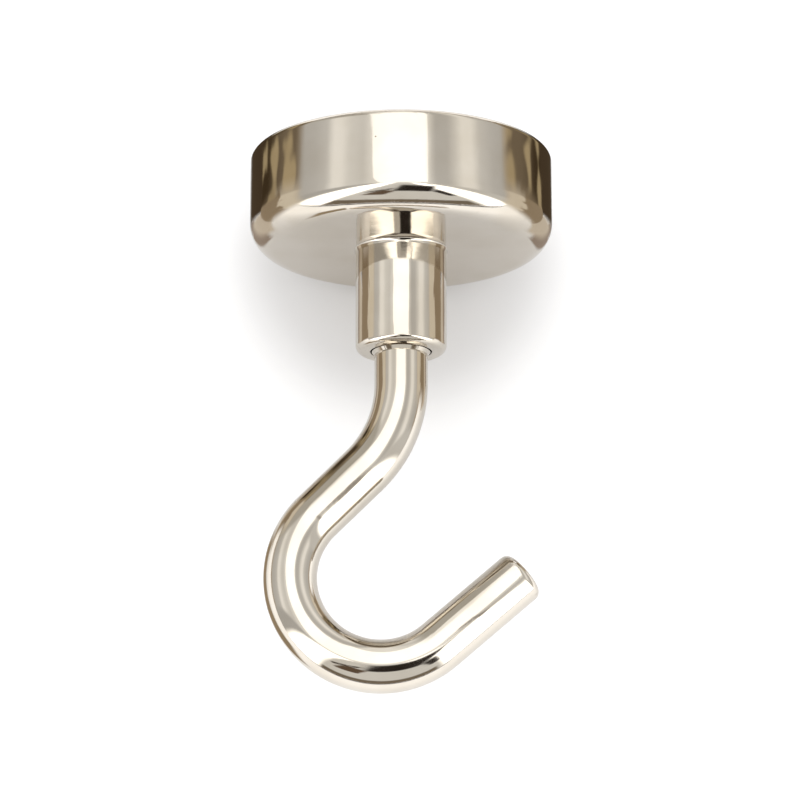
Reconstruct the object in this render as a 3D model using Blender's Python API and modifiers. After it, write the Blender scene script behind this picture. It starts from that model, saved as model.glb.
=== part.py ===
"""Magnetic hook: a pot magnet with a threaded bushing and a screwed-in wire hook.

Metres, +Z up. The hook lies on its side: its axis runs along Y, the magnet's
working face looks towards +Y and has its centre at the world origin, and the
bent wire lies flat in the XY plane with its open side towards +X.

Every piece is drawn upright first, with the magnet's face at z = 0 looking up
and the hook hanging below it, and one empty lays the whole assembly down.
"""

import math

import bmesh
import bpy

# Pot
CUP_DIAMETER = 0.0200
CUP_HEIGHT = 0.0065
CUP_WALL = 0.0014
CUP_FLOOR = 0.0024
CUP_BACK_FILLET = 0.0018
CUP_RIM_ROUND = 0.00045
CUP_RIM_INNER_CHAMFER = 0.0002

# Magnet and the resin that holds it
RESIN_WIDTH = 0.0010
RESIN_RECESS = 0.00015
MAGNET_EDGE_ROUND = 0.0003

# Bent wire
WIRE_DIAMETER = 0.0035
NECK_LENGTH = 0.0022
NECK_BEND_RADIUS = 0.0083
NECK_LEAN_DEG = 45.0
SLOPE_LENGTH = 0.0043
BOWL_RADIUS = 0.00585
BOWL_SWEEP_DEG = 176.0
TIP_LENGTH = 0.0073
TIP_ROUND = 0.00055

# Rolled thread on the wire's end: its crests stand proud of the wire
THREAD_CREST_RISE = 0.00025
THREAD_END_CHAMFER = 0.0004
THREAD_END_ROOM = 0.00035
SHANK_ENTRY = 0.00055

# Turned bushing, which is riveted into the pot's floor
BUSHING_LENGTH = 0.0070
BUSHING_WALL = 0.0009
BUSHING_ROOT_CHAMFER = 0.00022
BUSHING_END_ROUND = 0.00045
BUSHING_MOUTH_CHAMFER = 0.00012
SPIGOT_WALL_SHARE = 0.55
RIVET_FLANGE = 0.0007
RIVET_THICKNESS = 0.0008

# Clearances
SEAT_GAP = 0.0001
FIT_GAP = 0.0001

# Facets
WALL_STEPS = 72
SLEEVE_STEPS = 48
FILLET_STEPS = 5
SMALL_ROUND_STEPS = 3
BEND_STEP_DEG = 7.5
WIRE_BEVEL_RESOLUTION = 6
SMOOTH_ANGLE_DEG = 32.0
AXIS_MERGE = 0.00001

# Sizes that follow from those above
CUP_RADIUS = CUP_DIAMETER / 2
CAVITY_RADIUS = CUP_RADIUS - CUP_WALL
CAVITY_FLOOR_Z = -(CUP_HEIGHT - CUP_FLOOR)
BACK_Z = -CUP_HEIGHT
RESIN_OUTER_RADIUS = CAVITY_RADIUS - FIT_GAP
RESIN_INNER_RADIUS = RESIN_OUTER_RADIUS - (RESIN_WIDTH - 2 * FIT_GAP)
MAGNET_RADIUS = RESIN_INNER_RADIUS - FIT_GAP
MAGNET_BACK_Z = CAVITY_FLOOR_Z + SEAT_GAP

WIRE_RADIUS = WIRE_DIAMETER / 2
THREAD_RADIUS = WIRE_RADIUS + THREAD_CREST_RISE
BORE_RADIUS = THREAD_RADIUS + FIT_GAP
BUSHING_RADIUS = BORE_RADIUS + BUSHING_WALL
SPIGOT_RADIUS = BORE_RADIUS + BUSHING_WALL * SPIGOT_WALL_SHARE
FLOOR_HOLE_RADIUS = SPIGOT_RADIUS + FIT_GAP
RIVET_RADIUS = SPIGOT_RADIUS + RIVET_FLANGE
COUNTERBORE_RADIUS = RIVET_RADIUS + FIT_GAP
RIVET_TOP_Z = CAVITY_FLOOR_Z - SEAT_GAP
RIVET_UNDER_Z = RIVET_TOP_Z - RIVET_THICKNESS
COUNTERBORE_FLOOR_Z = RIVET_UNDER_Z - SEAT_GAP
BUSHING_ROOT_Z = BACK_Z - SEAT_GAP
MOUTH_Z = BACK_Z - BUSHING_LENGTH

WIRE_TOP_Z = MOUTH_Z + SHANK_ENTRY
THREAD_BOTTOM_Z = WIRE_TOP_Z + SEAT_GAP
THREAD_TOP_Z = BACK_Z - THREAD_END_ROOM
NECK_BEND_Z = MOUTH_Z - NECK_LENGTH

# Finishes: linear base colour, roughness, metallic
BRIGHT_NICKEL = ((0.66, 0.62, 0.55), 0.10, 1.0)
SATIN_NICKEL = ((0.60, 0.58, 0.54), 0.28, 1.0)
GREY_RESIN = ((0.42, 0.39, 0.40), 0.45, 0.0)


def clear_scene():
    """Remove whatever the file already holds."""
    for existing in list(bpy.data.objects):
        bpy.data.objects.remove(existing, do_unlink=True)


def make_material(name, finish):
    """A plain Principled finish."""
    colour, roughness, metallic = finish
    material = bpy.data.materials.new(name)
    material.use_nodes = True
    shader = material.node_tree.nodes["Principled BSDF"]
    shader.inputs["Base Color"].default_value = (*colour, 1.0)
    shader.inputs["Roughness"].default_value = roughness
    shader.inputs["Metallic"].default_value = metallic
    return material


def make_object(name, data, collection, parent):
    """An object with its origin on the hook's axis."""
    new_object = bpy.data.objects.new(name, data)
    collection.objects.link(new_object)
    new_object.parent = parent
    return new_object


def quarter_round(centre_r, centre_z, radius, start_deg, steps):
    """Points of a quarter circle in (radius, height), turning clockwise from start_deg."""
    points = []
    for step in range(steps + 1):
        angle = math.radians(start_deg - 90.0 * step / steps)
        points.append((centre_r + radius * math.cos(angle), centre_z + radius * math.sin(angle)))
    return points


def smooth_mesh(source, name):
    """The evaluated shape as a plain mesh, smooth but for its real edges."""
    depsgraph = bpy.context.evaluated_depsgraph_get()
    mesh = bpy.data.meshes.new_from_object(source.evaluated_get(depsgraph))
    mesh.name = name
    mesh.shade_smooth()
    mesh.set_sharp_from_angle(angle=math.radians(SMOOTH_ANGLE_DEG))
    return mesh


def make_turned(name, profile, closed, steps, material, collection, parent):
    """Turn a profile about Z. An open profile starts and ends on the axis."""
    mesh = bpy.data.meshes.new(name + "_profile")
    shape = bmesh.new()
    corners = [shape.verts.new((radius, 0.0, height)) for radius, height in profile]
    for first, second in zip(corners, corners[1:]):
        shape.edges.new((first, second))
    if closed:
        shape.edges.new((corners[-1], corners[0]))
    shape.to_mesh(mesh)
    shape.free()

    turned = make_object(name, mesh, collection, parent)
    screw = turned.modifiers.new("turn", "SCREW")
    screw.axis = "Z"
    screw.steps = steps
    screw.render_steps = steps
    screw.use_merge_vertices = True
    screw.merge_threshold = AXIS_MERGE
    turned.data = smooth_mesh(turned, name)
    turned.modifiers.clear()
    turned.data.materials.append(material)
    bpy.data.meshes.remove(mesh)
    return turned


def steel_cup_profile():
    """The drawn steel pot, with a counterbored hole in its floor for the bushing."""
    rim_outer = quarter_round(
        CUP_RADIUS - CUP_RIM_ROUND, -CUP_RIM_ROUND, CUP_RIM_ROUND, 90.0, SMALL_ROUND_STEPS
    )
    back_edge = quarter_round(
        CUP_RADIUS - CUP_BACK_FILLET, BACK_Z + CUP_BACK_FILLET, CUP_BACK_FILLET, 0.0, FILLET_STEPS
    )
    floor_hole = [
        (FLOOR_HOLE_RADIUS, BACK_Z),
        (FLOOR_HOLE_RADIUS, COUNTERBORE_FLOOR_Z),
        (COUNTERBORE_RADIUS, COUNTERBORE_FLOOR_Z),
        (COUNTERBORE_RADIUS, CAVITY_FLOOR_Z),
    ]
    inner_wall = [
        (CAVITY_RADIUS, CAVITY_FLOOR_Z),
        (CAVITY_RADIUS, -CUP_RIM_INNER_CHAMFER),
        (CAVITY_RADIUS + CUP_RIM_INNER_CHAMFER, 0.0),
    ]
    return rim_outer + back_edge + floor_hole + inner_wall


def magnet_profile():
    """The sintered disc, with a small round on both edges."""
    inner = MAGNET_RADIUS - MAGNET_EDGE_ROUND
    top_edge = quarter_round(inner, -MAGNET_EDGE_ROUND, MAGNET_EDGE_ROUND, 90.0, SMALL_ROUND_STEPS)
    bottom_edge = quarter_round(
        inner, MAGNET_BACK_Z + MAGNET_EDGE_ROUND, MAGNET_EDGE_ROUND, 0.0, SMALL_ROUND_STEPS
    )
    return [(0.0, 0.0)] + top_edge + bottom_edge + [(0.0, MAGNET_BACK_Z)]


def resin_profile():
    """The ring of cured resin between the magnet and the pot's wall."""
    return [
        (RESIN_OUTER_RADIUS, -RESIN_RECESS),
        (RESIN_OUTER_RADIUS, MAGNET_BACK_Z),
        (RESIN_INNER_RADIUS, MAGNET_BACK_Z),
        (RESIN_INNER_RADIUS, -RESIN_RECESS),
    ]


def bushing_profile():
    """The turned sleeve: collar outside the pot, spigot through it, rivet head inside it."""
    free_end = quarter_round(
        BUSHING_RADIUS - BUSHING_END_ROUND,
        MOUTH_Z + BUSHING_END_ROUND,
        BUSHING_END_ROUND,
        0.0,
        SMALL_ROUND_STEPS,
    )
    head_and_spigot = [
        (RIVET_RADIUS, RIVET_TOP_Z),
        (RIVET_RADIUS, RIVET_UNDER_Z),
        (SPIGOT_RADIUS, RIVET_UNDER_Z),
        (SPIGOT_RADIUS, BUSHING_ROOT_Z),
    ]
    collar_root = [
        (BUSHING_RADIUS - BUSHING_ROOT_CHAMFER, BUSHING_ROOT_Z),
        (BUSHING_RADIUS, BUSHING_ROOT_Z - BUSHING_ROOT_CHAMFER),
    ]
    bore = [
        (BORE_RADIUS + BUSHING_MOUTH_CHAMFER, MOUTH_Z),
        (BORE_RADIUS, MOUTH_Z + BUSHING_MOUTH_CHAMFER),
        (BORE_RADIUS, RIVET_TOP_Z),
    ]
    return head_and_spigot + collar_root + free_end + bore


def thread_profile():
    """The threaded end of the wire, as a plain cylinder over its crests."""
    return [
        (0.0, THREAD_TOP_Z),
        (THREAD_RADIUS - THREAD_END_CHAMFER, THREAD_TOP_Z),
        (THREAD_RADIUS, THREAD_TOP_Z - THREAD_END_CHAMFER),
        (THREAD_RADIUS, THREAD_BOTTOM_Z + THREAD_CREST_RISE),
        (WIRE_RADIUS, THREAD_BOTTOM_Z),
        (0.0, THREAD_BOTTOM_Z),
    ]


def arc_points(centre_x, centre_z, radius, start_deg, sweep_deg):
    """Points along an arc in (x, z), without its first point."""
    count = max(1, math.ceil(abs(sweep_deg) / BEND_STEP_DEG))
    points = []
    for step in range(1, count + 1):
        angle = math.radians(start_deg + sweep_deg * step / count)
        points.append((centre_x + radius * math.cos(angle), centre_z + radius * math.sin(angle)))
    return points


def hook_centre_line():
    """The bent wire's centre line: neck, slope, bowl and tip, as (x, z) with a radius share."""
    line = [(0.0, WIRE_TOP_Z), (0.0, NECK_BEND_Z)]
    line += arc_points(-NECK_BEND_RADIUS, NECK_BEND_Z, NECK_BEND_RADIUS, 0.0, -NECK_LEAN_DEG)

    lean = math.radians(NECK_LEAN_DEG)
    neck_x, neck_z = line[-1]
    slope_x = neck_x - SLOPE_LENGTH * math.sin(lean)
    slope_z = neck_z - SLOPE_LENGTH * math.cos(lean)
    line.append((slope_x, slope_z))

    bowl_x = slope_x + BOWL_RADIUS * math.cos(lean)
    bowl_z = slope_z - BOWL_RADIUS * math.sin(lean)
    bowl_start_deg = 180.0 - NECK_LEAN_DEG
    line += arc_points(bowl_x, bowl_z, BOWL_RADIUS, bowl_start_deg, BOWL_SWEEP_DEG)

    tip = math.radians(bowl_start_deg + BOWL_SWEEP_DEG + 90.0)
    bowl_end_x, bowl_end_z = line[-1]
    shares = [1.0] * len(line)
    for step in range(SMALL_ROUND_STEPS + 1):
        turn = math.radians(90.0 * step / SMALL_ROUND_STEPS)
        reach = TIP_LENGTH - TIP_ROUND + TIP_ROUND * math.sin(turn)
        line.append((bowl_end_x + reach * math.cos(tip), bowl_end_z + reach * math.sin(tip)))
        shares.append((WIRE_RADIUS - TIP_ROUND + TIP_ROUND * math.cos(turn)) / WIRE_RADIUS)
    return line, shares


def make_wire(name, material, collection, parent):
    """The bent wire: a round bar swept along the centre line, with flat closed ends."""
    line, shares = hook_centre_line()
    curve = bpy.data.curves.new(name, "CURVE")
    curve.dimensions = "3D"
    curve.bevel_depth = WIRE_RADIUS
    curve.bevel_resolution = WIRE_BEVEL_RESOLUTION
    curve.use_fill_caps = True
    spline = curve.splines.new("POLY")
    spline.points.add(len(line) - 1)
    for point, (x, z), share in zip(spline.points, line, shares):
        point.co = (x, 0.0, z, 1.0)
        point.radius = share
    curve.materials.append(material)
    return make_object(name, curve, collection, parent)


def build():
    """Make the six nodes and lay the assembly on its side."""
    clear_scene()
    collection = bpy.data.collections.new("magnetic_hook")
    bpy.context.scene.collection.children.link(collection)

    laid_down = make_object("hook_axis", None, collection, None)
    laid_down.rotation_euler = (math.radians(-90.0), 0.0, 0.0)
    screw_axis = make_object("screw_axis", None, collection, laid_down)

    cup_nickel = make_material("bright_nickel_cup", BRIGHT_NICKEL)
    bushing_nickel = make_material("bright_nickel_bushing", BRIGHT_NICKEL)
    wire_nickel = make_material("bright_nickel_wire", BRIGHT_NICKEL)
    magnet_nickel = make_material("satin_nickel_magnet", SATIN_NICKEL)
    resin = make_material("grey_resin", GREY_RESIN)

    make_turned("steel_cup", steel_cup_profile(), True, WALL_STEPS, cup_nickel, collection, laid_down)
    make_turned("magnet_disc", magnet_profile(), False, WALL_STEPS, magnet_nickel, collection, laid_down)
    make_turned("resin_ring", resin_profile(), True, WALL_STEPS, resin, collection, laid_down)
    make_turned(
        "threaded_bushing", bushing_profile(), True, SLEEVE_STEPS, bushing_nickel, collection, laid_down
    )
    make_turned(
        "hook_thread", thread_profile(), False, SLEEVE_STEPS, wire_nickel, collection, screw_axis
    )
    make_wire("hook_wire", wire_nickel, collection, screw_axis)


build()
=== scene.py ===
"""Looks of the magnetic hook: a nickel-plated pot magnet with a wire hook screwed into its back.

Metres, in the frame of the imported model. The hook's axis is Y, with the magnet's face at y = 0
looking towards +Y, and the bent wire lies in the XY plane. A profile is a list of
(radius, y) points that is turned about that axis.
"""

import math

import bmesh
import bpy
from mathutils import Matrix, Vector


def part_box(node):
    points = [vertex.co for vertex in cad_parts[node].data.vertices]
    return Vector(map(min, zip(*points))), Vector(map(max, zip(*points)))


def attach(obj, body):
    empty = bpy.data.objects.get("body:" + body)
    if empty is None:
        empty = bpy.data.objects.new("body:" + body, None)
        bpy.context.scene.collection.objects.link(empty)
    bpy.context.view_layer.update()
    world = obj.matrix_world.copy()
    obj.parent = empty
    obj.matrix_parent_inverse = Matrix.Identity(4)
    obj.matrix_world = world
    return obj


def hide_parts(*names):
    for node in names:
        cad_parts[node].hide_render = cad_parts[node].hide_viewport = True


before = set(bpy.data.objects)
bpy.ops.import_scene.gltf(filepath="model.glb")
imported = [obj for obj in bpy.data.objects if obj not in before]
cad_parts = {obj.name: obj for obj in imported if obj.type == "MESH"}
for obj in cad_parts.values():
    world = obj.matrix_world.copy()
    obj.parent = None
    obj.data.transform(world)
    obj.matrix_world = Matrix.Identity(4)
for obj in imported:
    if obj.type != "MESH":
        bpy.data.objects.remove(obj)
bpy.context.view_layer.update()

MM = 0.001

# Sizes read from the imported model
POT_LOW, POT_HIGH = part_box("steel_cup")
MAGNET_LOW, MAGNET_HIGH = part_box("magnet_disc")
RESIN_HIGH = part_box("resin_ring")[1]
BUSHING_LOW, BUSHING_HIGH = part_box("threaded_bushing")
THREAD_LOW, THREAD_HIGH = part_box("hook_thread")
WIRE_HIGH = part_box("hook_wire")[1]

# Pot
POT_RADIUS = POT_HIGH.x
POT_BACK_Y = POT_LOW.y
POT_WALL = 1.4 * MM
POT_FLOOR_Y = -4.1 * MM
POT_BACK_FILLET = 1.8 * MM
POT_RIM_ROUND = 0.45 * MM
POT_RIM_CHAMFER = 0.2 * MM
CAVITY_RADIUS = POT_RADIUS - POT_WALL

# Magnet and resin
MAGNET_RADIUS = MAGNET_HIGH.x
MAGNET_BACK_Y = MAGNET_LOW.y
MAGNET_EDGE_ROUND = 0.3 * MM
RESIN_RADIUS = RESIN_HIGH.x
RESIN_INNER_RADIUS = 7.7 * MM
RESIN_TOP_Y = RESIN_HIGH.y
RESIN_DIP = 0.06 * MM
RESIN_STEPS = 10

# Bushing: the collar shows, and the rivet head inside the pot is its widest part
COLLAR_RADIUS = 3.0 * MM
BORE_RADIUS = 2.1 * MM
MOUTH_Y = BUSHING_LOW.y
COLLAR_ROOT_Y = POT_BACK_Y - 0.005 * MM
COLLAR_FLARES = ((0.11 * MM, 70.0, 28.0), (0.6 * MM, 28.0, 0.0))  # (radius, first and last degrees)
COLLAR_END_ROUND = 0.45 * MM
MOUTH_RADIUS = 2.02 * MM
MOUTH_CHAMFER = 0.04 * MM
MOUTH_LIP = 0.35 * MM
SPIGOT_RADIUS = 2.595 * MM
RIVET_RADIUS = BUSHING_HIGH.x
RIVET_TOP_Y = BUSHING_HIGH.y
RIVET_UNDER_Y = RIVET_TOP_Y - 0.8 * MM
HOLE_GAP = 0.1 * MM

# Wire
WIRE_RADIUS = 1.75 * MM
WIRE_TOP_Y = WIRE_HIGH.y
NECK_LENGTH = 2.2 * MM
NECK_BEND_RADIUS = 8.3 * MM
NECK_LEAN_DEG = 45.0
SLOPE_LENGTH = 4.3 * MM
BOWL_RADIUS = 5.84 * MM  # 0.01 mm under the model's, so that finer facets stay in its box
BOWL_SWEEP_DEG = 176.0
TIP_LENGTH = 7.3 * MM
TIP_ROUND = 0.55 * MM
JOIN_REACH = 0.095 * MM
SHOULDER_RADIUS = 1.93 * MM
SHOULDER_DROP = 0.2 * MM

# Thread, a metric coarse M4
THREAD_PITCH = 0.7 * MM
THREAD_RADIUS = THREAD_HIGH.x
THREAD_TOP_Y = THREAD_HIGH.y
THREAD_END_Y = THREAD_LOW.y
THREAD_DEPTH = 0.38 * MM
BORE_THREAD_DEPTH = 0.28 * MM
BORE_THREAD_FADE = 0.5 * MM
THREAD_ROW = 0.05 * MM
THREAD_CHAMFER = 0.4 * MM

# How finely the pieces are cut
POT_SIDES = 192
COLLAR_SIDES = 128
WIRE_SIDES = 64
BEND_STEP_DEG = 1.5
ROUND_STEPS = 8
FILLET_STEPS = 14
SHARP_DEG = 40.0

# Wear: how far it reaches from an edge, where it is full, and how strong it is
WEAR_REACH = 0.6 * MM
WEAR_FULL = 0.1 * MM
TIP_WEAR_REACH = 1.1 * MM
TIP_WEAR_FULL = 0.2 * MM
RIM_WEAR = 0.45
BACK_EDGE_WEAR = 0.12
COLLAR_WEAR = 0.35
TIP_WEAR = 0.5
MAGNET_WEAR_LEAST = 0.05
MAGNET_WEAR_MOST = 0.4
MAGNET_WEAR_PATCH = 5.0 * MM

# Marks in the plate and the resin
LINE_STRETCH = 50.0
GRIND_FLOW = 0.05
RIPPLE_FLOW = 0.3
HAZE_SIZE = 4.0 * MM
SMEAR_SIZE = 2.2 * MM
NICK_SIZE = 0.22 * MM
NICK_DEPTH = 0.007 * MM
NICK_DULLING = 0.16
PINHOLE_SPACING = 1.7 * MM
PINHOLE_SCARCITY = 0.88
PINHOLE_DEPTH = 0.004 * MM
RESIN_CLOUD_SIZE = 1.2 * MM
RESIN_BUBBLE_SPACING = 0.7 * MM
RESIN_RELIEF = 0.02 * MM

# Camera: the photograph's viewing angle, with a longer lens that frames this hook
CAMERA_PLACE = Vector((-6.3, -92.4, 269.0)) * MM
CAMERA_AIM = Vector((-0.07, -16.74, 0.0)) * MM
CAMERA_LENS = 192.0
CAMERA_SENSOR = 36.0

# Studio
CARD_FADE = 0.16
FLOOR_SIZE = 2.0
FLOOR_Z = -POT_RADIUS - 0.01 * MM
EVEN_LIGHT = 1.12
EVEN_TILT = 0.8
ROOM_STRENGTH = 3.0
ROOM_TINT = (1.0, 0.99, 0.965)
SOFTBOX_WIDTH = 0.42
SOFTBOX_LENGTH = 0.60
SOFTBOX_PLACE = Vector((-0.024, 0.234, 0.552))
SOFTBOX_RADIANCE = 0.75

# The table's glow for each kind of ray, as (near, far, glow near the pot, glow far from it)
# The lower glow near the pot is painted shade: the table is darker round the pot, in the picture and in the
# metal.
TABLE_GLOW_AND_SHADE = {
    "Is Camera Ray": (8.0 * MM, 14.0 * MM, 0.04, 0.27),
    "Is Glossy Ray": (14.0 * MM, 60.0 * MM, 0.0, 0.5),
}

# Panels of the room, as (degrees right of overhead, brightness)
ROOM_PANELS = (
    (-180, 0.70), (-92, 0.70), (-82, 0.62), (-70, 0.66), (-60, 0.74), (-54, 1.12), (-47, 1.12),
    (-40, 0.92), (-30, 0.84), (-25, 1.00), (-10, 1.16), (17, 1.16), (25, 0.66), (34, 0.68), (40, 0.88),
    (46, 1.14), (54, 1.14), (61, 0.80), (72, 0.66), (82, 0.62), (92, 0.70), (180, 0.70),
)

# The front of the room, as (degrees around from +X, brightness): two windows and a pale wall between
FRONT_PANELS = (
    (-180, 0.58), (-160, 0.58), (-154, 3.00), (-133, 3.00), (-128, 0.86), (-49, 0.84),
    (-44, 3.00), (-24, 3.00), (-19, 0.76), (0, 0.76), (180, 0.76),
)


def linear(hex_colour):
    """An sRGB hex colour as the linear values that a socket takes."""
    values = []
    for start in (1, 3, 5):
        share = int(hex_colour[start:start + 2], 16) / 255
        values.append(share / 12.92 if share <= 0.04045 else ((share + 0.055) / 1.055) ** 2.4)
    return (*values, 1.0)


def add(tree, kind, sockets=None, **settings):
    """A node with its settings, and its inputs linked or set."""
    node = tree.nodes.new(kind)
    for key, value in settings.items():
        setattr(node, key, value)
    for socket, value in (sockets or {}).items():
        if isinstance(value, bpy.types.NodeSocket):
            tree.links.new(value, node.inputs[socket])
        else:
            node.inputs[socket].default_value = value
    return node


def new_material(name):
    """A material with its tree and its Principled shader."""
    material = bpy.data.materials.new(name)
    material.use_nodes = True
    return material, material.node_tree, material.node_tree.nodes["Principled BSDF"]


# Where the patterns run


def lathe_marks(tree):
    """Coordinates that only change with radius and height, so a pattern on them runs in rings."""
    place = add(tree, "ShaderNodeTexCoord").outputs["Object"]
    parts = add(tree, "ShaderNodeSeparateXYZ", {0: place}).outputs
    across = add(tree, "ShaderNodeCombineXYZ", {"X": parts["X"], "Z": parts["Z"]})
    radius = add(tree, "ShaderNodeVectorMath", {0: across.outputs[0]}, operation="LENGTH")
    return add(tree, "ShaderNodeCombineXYZ", {"X": radius.outputs["Value"], "Y": parts["Y"]}).outputs[0]


def draw_marks(tree):
    """Coordinates that barely change along the wire, so a pattern on them runs in long lines."""
    return add(tree, "ShaderNodeAttribute", attribute_name="wire_lines").outputs["Vector"]


def ground_marks(tree):
    """Coordinates that barely change along X, so a pattern on them runs in straight lines."""
    place = add(tree, "ShaderNodeTexCoord").outputs["Object"]
    flow = {0: place, 1: (GRIND_FLOW, 1.0, 1.0)}
    return add(tree, "ShaderNodeVectorMath", flow, operation="MULTIPLY").outputs[0]


def rim_wear(tree):
    """Highest on the pot's rim, low on its back edge, and 0 on the open faces."""
    parts = add(tree, "ShaderNodeSeparateXYZ", {0: lathe_marks(tree)}).outputs
    rim = {"Value": parts["Y"], "From Min": -WEAR_REACH, "From Max": -WEAR_FULL, "To Max": RIM_WEAR}
    near_rim = add(tree, "ShaderNodeMapRange", rim, interpolation_type="SMOOTHSTEP")
    back_y = POT_BACK_Y + POT_BACK_FILLET * 0.5
    back = {
        "Value": parts["Y"],
        "From Min": back_y,
        "From Max": back_y - WEAR_REACH,
        "To Max": BACK_EDGE_WEAR,
    }
    near_back = add(tree, "ShaderNodeMapRange", back, interpolation_type="SMOOTHSTEP")
    sides = {"Value": parts["X"], "From Min": POT_RADIUS - POT_BACK_FILLET, "From Max": POT_RADIUS - 0.5 * MM}
    on_edge = add(tree, "ShaderNodeMapRange", sides, interpolation_type="SMOOTHSTEP")
    edge = {0: near_back.outputs["Result"], 1: on_edge.outputs["Result"]}
    back_edge = add(tree, "ShaderNodeMath", edge, operation="MULTIPLY")
    both = {0: near_rim.outputs["Result"], 1: back_edge.outputs[0]}
    return add(tree, "ShaderNodeMath", both, operation="MAXIMUM").outputs[0]


def collar_wear(tree):
    """Highest on the collar's free end, which the hook's neck rubs, and 0 along its side."""
    parts = add(tree, "ShaderNodeSeparateXYZ", {0: lathe_marks(tree)}).outputs
    end = {
        "Value": parts["Y"],
        "From Min": MOUTH_Y + WEAR_REACH,
        "From Max": MOUTH_Y + WEAR_FULL,
        "To Max": COLLAR_WEAR,
    }
    return add(tree, "ShaderNodeMapRange", end, interpolation_type="SMOOTHSTEP").outputs["Result"]


def wire_wear(tree):
    """Highest at the cut tip, and 0 along the wire."""
    along = add(tree, "ShaderNodeAttribute", attribute_name="wire_along").outputs["Fac"]
    length = wire_length()
    tip = {
        "Value": along,
        "From Min": length - TIP_WEAR_REACH,
        "From Max": length - TIP_WEAR_FULL,
        "To Max": TIP_WEAR,
    }
    return add(tree, "ShaderNodeMapRange", tip, interpolation_type="SMOOTHSTEP").outputs["Result"]


def face_wear(tree):
    """A low value in patches: the magnet's whole face slides on steel."""
    place = add(tree, "ShaderNodeTexCoord").outputs["Object"]
    spread = {"Vector": place, "Scale": 1.0 / MAGNET_WEAR_PATCH, "Detail": 2.0}
    patches = add(tree, "ShaderNodeTexNoise", spread)
    share = {
        "Value": patches.outputs["Fac"],
        "From Min": 0.4,
        "From Max": 0.7,
        "To Min": MAGNET_WEAR_LEAST,
        "To Max": MAGNET_WEAR_MOST,
    }
    return add(tree, "ShaderNodeMapRange", share, interpolation_type="SMOOTHSTEP").outputs["Result"]


# Materials


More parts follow.
